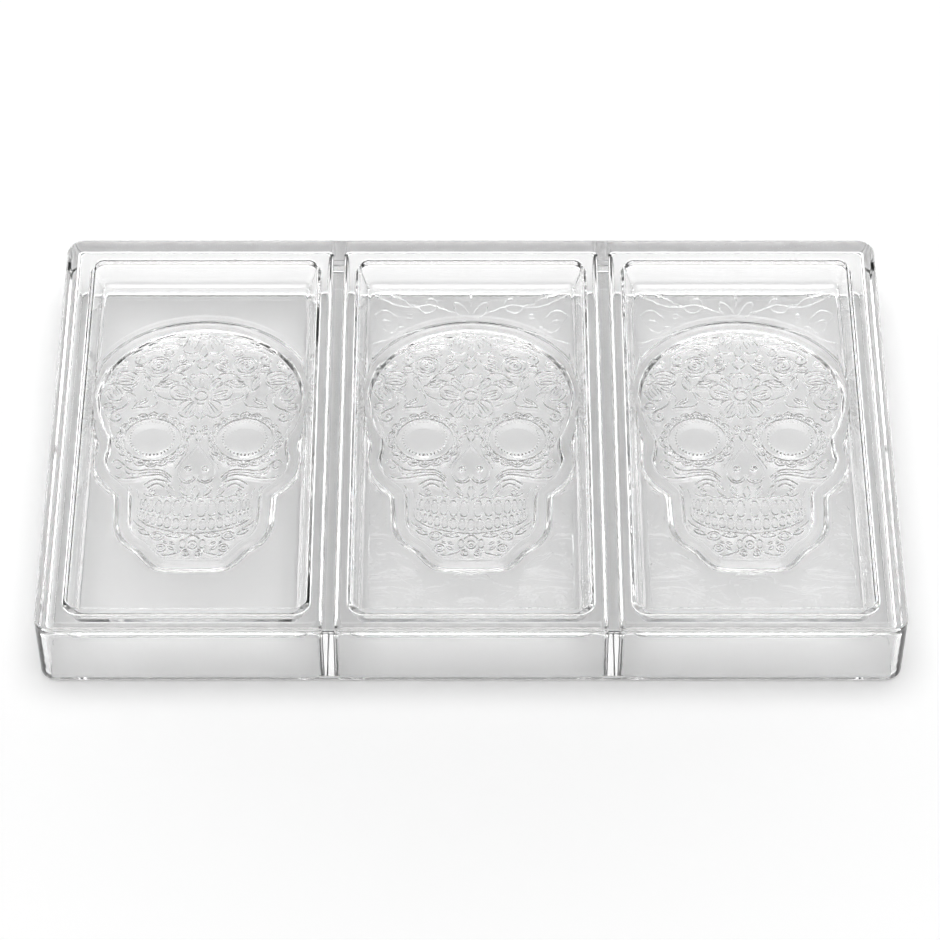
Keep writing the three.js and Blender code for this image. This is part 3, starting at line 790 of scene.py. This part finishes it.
def clear_plastic():
    mat = bpy.data.materials.new("clear_polycarbonate")
    mat.use_nodes = True
    tree = mat.node_tree
    shader = tree.nodes["Principled BSDF"]
    shader.inputs["Base Color"].default_value = (1, 1, 1, 1)
    shader.inputs["IOR"].default_value = REFRACTION
    shader.inputs["Transmission Weight"].default_value = 1.0
    place = tree.nodes.new("ShaderNodeTexCoord").outputs["Object"]
    haze = node_after(tree, "ShaderNodeTexNoise", Scale=HAZE_SCALE, Detail=HAZE_DETAIL)
    tree.links.new(place, haze.inputs["Vector"])
    rough = node_after(tree, "ShaderNodeMapRange", haze.outputs[0],
                       To_Min=ROUGHNESS[0], To_Max=ROUGHNESS[1])
    tree.links.new(rough.outputs[0], shader.inputs["Roughness"])
    return mat


def seam_skin():
    """Inside the one moulding nothing is seen where two zones meet."""
    mat = bpy.data.materials.new("seam")
    mat.use_nodes = True
    tree = mat.node_tree
    tree.nodes.remove(tree.nodes["Principled BSDF"])
    clear = tree.nodes.new("ShaderNodeBsdfTransparent")
    tree.links.new(clear.outputs[0], tree.nodes["Material Output"].inputs["Surface"])
    return mat


plastic = clear_plastic()
seam = seam_skin()


def link(obj):
    bpy.context.scene.collection.objects.link(obj)
    return obj


def mesh_object(name, solid, material):
    verts, faces = solid
    mesh = bpy.data.meshes.new(name)
    mesh.from_pydata(np.asarray(verts).tolist(), [], faces)
    mesh.materials.append(material)
    mesh.update()
    return link(bpy.data.objects.new(name, mesh))


def combine(target, operation, other):
    """Joins or cuts with another solid; the faces that it brings keep its material."""
    mod = target.modifiers.new("cut", "BOOLEAN")
    mod.operation = operation
    mod.object = other
    mod.solver = "MANIFOLD"
    mod.material_mode = "TRANSFER"
    evaluated = target.evaluated_get(bpy.context.evaluated_depsgraph_get())
    mesh = bpy.data.meshes.new_from_object(evaluated)
    target.modifiers.clear()
    old = target.data
    target.data = mesh
    bpy.data.meshes.remove(old)
    return target


def copy_of(obj, x=0.0):
    twin = link(bpy.data.objects.new(obj.name, obj.data.copy()))
    twin.data.transform(Matrix.Translation((x, 0, 0)))
    return twin


def discard(*objects):
    for obj in objects:
        mesh = obj.data
        bpy.data.objects.remove(obj)
        if mesh.users == 0:
            bpy.data.meshes.remove(mesh)


def finished(obj, smooth_angle):
    """Scales a solid to metres and shades its rounds smooth and its flats flat."""
    obj.data.transform(Matrix.Scale(MM, 4))
    obj.data.shade_smooth()
    obj.data.set_sharp_from_angle(angle=math.radians(smooth_angle))
    return obj.data


def show(name, mesh, x, *nodes):
    """A visible piece of the tray that stands for some nodes of the CAD model."""
    obj = link(bpy.data.objects.new(name, mesh))
    obj.location.x = x * MM
    mod = obj.modifiers.new("flats", "WEIGHTED_NORMAL")
    mod.mode = "FACE_AREA_WITH_ANGLE"
    mod.keep_sharp = True
    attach(obj, "root")
    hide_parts(*nodes)


blank = mesh_object("blank", tray_blank(), plastic)
bay_cuts = [mesh_object("bay", b, plastic) for b in bays()]
hollow = mesh_object("hollow", cavity_hollow(), plastic)
patterned = mesh_object("patterned", patterned_hollow(), plastic)
skin = mesh_object("skin", pan_outside(), plastic)
boss_solid = mesh_object("boss", boss(), plastic)
within = mesh_object("within", pan_foot_prism(), plastic)
combine(boss_solid, "INTERSECT", within)
stamp = mesh_object("stamp", skull_stamp(), plastic)
rib_gap = mesh_object("gap", cuboid(RIB_TOP, WIDTH / 2 - SKIRT_WALL, -CUT, RIB_LIFT), plastic)
above = mesh_object("above", cuboid(LENGTH, WIDTH, SEAM_Z, HEIGHT + CUT), seam)
below = mesh_object("below", cuboid(LENGTH, WIDTH, -CUT, SEAM_Z), seam)
plug = mesh_object("plug", loft([grown(outline, SEAM_OUT)] * 2, [-CUT, HEIGHT + CUT]), seam)


def deck_solid():
    """The deck, with the coves under it and the three cavity mouths."""
    deck = copy_of(blank)
    combine(deck, "INTERSECT", above)
    for x, cut in zip((-PITCH, 0, PITCH), bay_cuts):
        void, outside, mouth = copy_of(cut), copy_of(skin, x), copy_of(hollow, x)
        combine(void, "DIFFERENCE", outside)
        combine(deck, "DIFFERENCE", void)
        combine(deck, "DIFFERENCE", mouth)
        discard(void, outside, mouth)
    return deck


def skirt_solid():
    """The upright wall all round and the two ribs."""
    skirt = copy_of(blank)
    combine(skirt, "INTERSECT", below)
    for cut in bay_cuts:
        combine(skirt, "DIFFERENCE", cut)
    for x in (-RIB_X, RIB_X):
        gap = copy_of(rib_gap, x)
        combine(skirt, "DIFFERENCE", gap)
        discard(gap)
    return skirt


def cavity_unit(space):
    """A cavity pan and its skull relief in one, before the recess; space is what is open above it."""
    unit = copy_of(skin)
    combine(unit, "UNION", boss_solid)
    combine(unit, "INTERSECT", below)
    return combine(unit, "DIFFERENCE", space)


def pan_of(unit):
    pan = copy_of(unit)
    combine(pan, "DIFFERENCE", stamp)
    return combine(pan, "DIFFERENCE", plug)


def relief_of(unit):
    relief = copy_of(unit)
    combine(relief, "INTERSECT", plug)
    return combine(relief, "DIFFERENCE", stamp)


deck, skirt = deck_solid(), skirt_solid()
patterned_unit, plain_unit = cavity_unit(patterned), cavity_unit(hollow)
patterned_pan, plain_pan, relief = pan_of(patterned_unit), pan_of(plain_unit), relief_of(patterned_unit)

show("top_deck.clear", finished(deck, SHARP_BEND), 0, "top_deck")
show("skirt_and_ribs.clear", finished(skirt, SHARP_BEND), 0,
     "outer_skirt", "divider_rib_left", "divider_rib_right")
patterned_mesh = finished(patterned_pan, SHARP_BEND)
plain_mesh = finished(plain_pan, SHARP_BEND)
relief_mesh = finished(relief, FIGURE_SHARP_BEND)
for x, place in ((-PITCH, "left"), (0, "centre"), (PITCH, "right")):
    pan_mesh = plain_mesh if place == "left" else patterned_mesh
    show(f"cavity_pan_{place}.clear", pan_mesh, x, f"cavity_pan_{place}")
    show(f"skull_relief_{place}.clear", relief_mesh, x, f"skull_relief_{place}")
discard(deck, skirt, patterned_unit, plain_unit, patterned_pan, plain_pan, relief)
discard(blank, hollow, patterned, skin, boss_solid, within, stamp, above, below, plug, rib_gap)
discard(*bay_cuts)


# Stage: a white floor, a soft box of light above, and low bands of light behind and at both sides

def white_floor():
    mesh = bpy.data.meshes.new("floor")
    half = FLOOR_SIZE / 2
    corners = [(-half, -half, 0), (half, -half, 0), (half, half, 0), (-half, half, 0)]
    mesh.from_pydata(corners, [], [(0, 1, 2, 3)])
    floor = link(bpy.data.objects.new("floor", mesh))
    floor.location.z = -FLOOR_DROP * MM
    mat = bpy.data.materials.new("floor")
    mat.use_nodes = True
    shader = mat.node_tree.nodes["Principled BSDF"]
    shader.inputs["Base Color"].default_value = (1, 1, 1, 1)
    shader.inputs["Roughness"].default_value = FLOOR_ROUGHNESS
    shader.inputs["Specular IOR Level"].default_value = 0.0
    mesh.materials.append(mat)


def studio_light():
    """A soft box straight above, low bands behind and at both sides, and dim air between them."""
    world = bpy.data.worlds.new("studio")
    bpy.context.scene.world = world
    world.use_nodes = True
    tree = world.node_tree
    direction = tree.nodes.new("ShaderNodeTexCoord").outputs["Generated"]
    axes = node_after(tree, "ShaderNodeSeparateXYZ", direction).outputs

    def ramp(source, low, high, start, end):
        return node_after(tree, "ShaderNodeMapRange", source, From_Min=low, From_Max=high,
                          To_Min=start, To_Max=end).outputs["Result"]

    def maths(kind, one, two=None):
        node = node_after(tree, "ShaderNodeMath", one)
        node.operation = kind
        if two is not None:
            tree.links.new(two, node.inputs[1])
        return node.outputs[0]

    air = ramp(axes["Y"], 0.0, 1.0, FRONT_LIGHT, BACK_LIGHT)
    box_edge = [math.cos(math.radians(angle)) for angle in (BOX_OUTSIDE, BOX_INSIDE)]
    box = ramp(axes["Z"], *box_edge, 0.0, BOX_LIGHT)
    behind = ramp(axes["Y"], BACK_START, BACK_FULL, 0.0, BACK_BAND)
    beside = ramp(maths("ABSOLUTE", axes["X"]), SIDE_START, SIDE_FULL, 0.0, SIDE_BAND)
    height = maths("MULTIPLY", ramp(axes["Z"], 0.0, BAND_EDGE, 0.0, 1.0),
                   ramp(axes["Z"], BAND_TOP, BAND_TOP + BAND_EDGE, 1.0, 0.0))
    bands = maths("MULTIPLY", maths("ADD", behind, beside), height)
    strength = maths("ADD", maths("ADD", air, box), bands)
    tree.links.new(strength, tree.nodes["Background"].inputs["Strength"])
    tree.nodes["Background"].inputs["Color"].default_value = (1, 1, 1, 1)


def camera():
    data = bpy.data.cameras.new("camera")
    data.sensor_width = SENSOR
    data.lens = SENSOR * FOCAL_PX / IMAGE_PX
    data.clip_end = CLIP_END
    obj = link(bpy.data.objects.new("camera", data))
    cos, sin = math.cos(TILT), math.sin(TILT)
    y, z = AIM_RISE * sin - DISTANCE * cos, AIM_RISE * cos + DISTANCE * sin
    obj.location = Vector((CAMERA_X, y, z)) * MM
    obj.rotation_euler = (math.pi / 2 - TILT, 0, 0)
    bpy.context.scene.camera = obj


white_floor()
studio_light()
camera()

scene = bpy.context.scene
scene.view_settings.view_transform = "Standard"
scene.cycles.max_bounces = BOUNCES
scene.cycles.transmission_bounces = BOUNCES
scene.cycles.transparent_max_bounces = BOUNCES
scene.cycles.glossy_bounces = GLOSSY_BOUNCES
scene.cycles.blur_glossy = GLOSSY_FILTER
